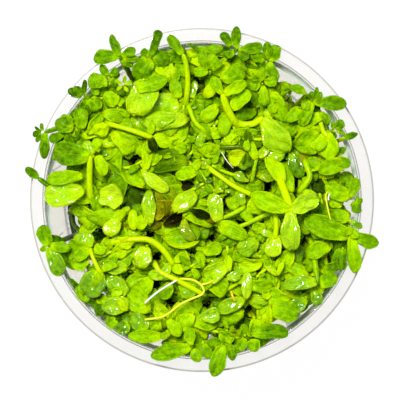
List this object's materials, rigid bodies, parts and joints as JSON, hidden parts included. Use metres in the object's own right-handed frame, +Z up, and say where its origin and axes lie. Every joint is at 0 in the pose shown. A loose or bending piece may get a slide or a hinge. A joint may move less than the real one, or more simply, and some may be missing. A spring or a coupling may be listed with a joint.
{
  "type": "lemon bacopa in a culture cup",
  "caption": "Dense clump of lemon bacopa, small rounded leaves in opposite pairs on soft stems, growing from gel in a clear round flanged cup.",
  "frame": {"origin": "middle of the cup's flat underside", "axes": "+Z up out of the cup's mouth, +Y towards the top edge of the picture, +X towards its right edge"},
  "size_m": [0.0976, 0.0967, 0.0668],
  "materials": {
    "clear_cup": "clear moulded plastic, smooth and glossy",
    "nutrient_gel": "clear, faintly yellow set gel with a wet surface",
    "stem": "soft, juicy, light yellow-green skin with a faint gloss",
    "leaf": "lime green blade with fine paler veins, waxy, wet spots",
    "small_shoots": "lime green leaves and stems, darker in the depth of the clump"
  },
  "bodies": {
    "root": {"cup": "clear_cup", "gel": "nutrient_gel", "leaf_a1": "leaf", "leaf_a2": "leaf", "leaf_b1": "leaf", "leaf_b2": "leaf", "leaf_c1": "leaf", "leaf_c2": "leaf", "leaf_c3": "leaf", "leaf_d1": "leaf", "leaf_e1": "leaf", "leaf_f1": "leaf", "leaf_f2": "leaf", "leaf_g1": "leaf", "leaf_g2": "leaf", "leaf_h1": "leaf", "leaf_h2": "leaf", "leaf_h3": "leaf", "leaf_i1": "leaf", "leaf_i2": "leaf", "leaf_i3": "leaf", "leaf_j1": "leaf", "leaf_k1": "leaf", "leaf_l1": "leaf", "leaf_l2": "leaf", "leaf_m1": "leaf", "leaf_m2": "leaf", "leaf_m3": "leaf", "leaf_n1": "leaf", "leaf_o1": "leaf", "leaf_p1": "leaf", "stem_a": "stem", "stem_b": "stem", "stem_c": "stem", "stem_c_fork": "stem", "stem_d": "stem", "stem_e": "stem", "stem_f": "stem", "stem_g": "stem", "stem_h": "stem", "stem_i": "stem", "stem_j": "stem", "stem_k": "stem", "stem_l": "stem", "stem_m": "stem", "stem_n": "stem", "stem_o": "stem", "stem_p": "stem", "tuft_east": "small_shoots", "tuft_inner_east": "small_shoots", "tuft_inner_north": "small_shoots", "tuft_inner_south": "small_shoots", "tuft_inner_west": "small_shoots", "tuft_north": "small_shoots", "tuft_north_east": "small_shoots", "tuft_north_west": "small_shoots", "tuft_south": "small_shoots", "tuft_south_east": "small_shoots", "tuft_south_west": "small_shoots", "tuft_west": "small_shoots"}
  },
  "joints": []
}
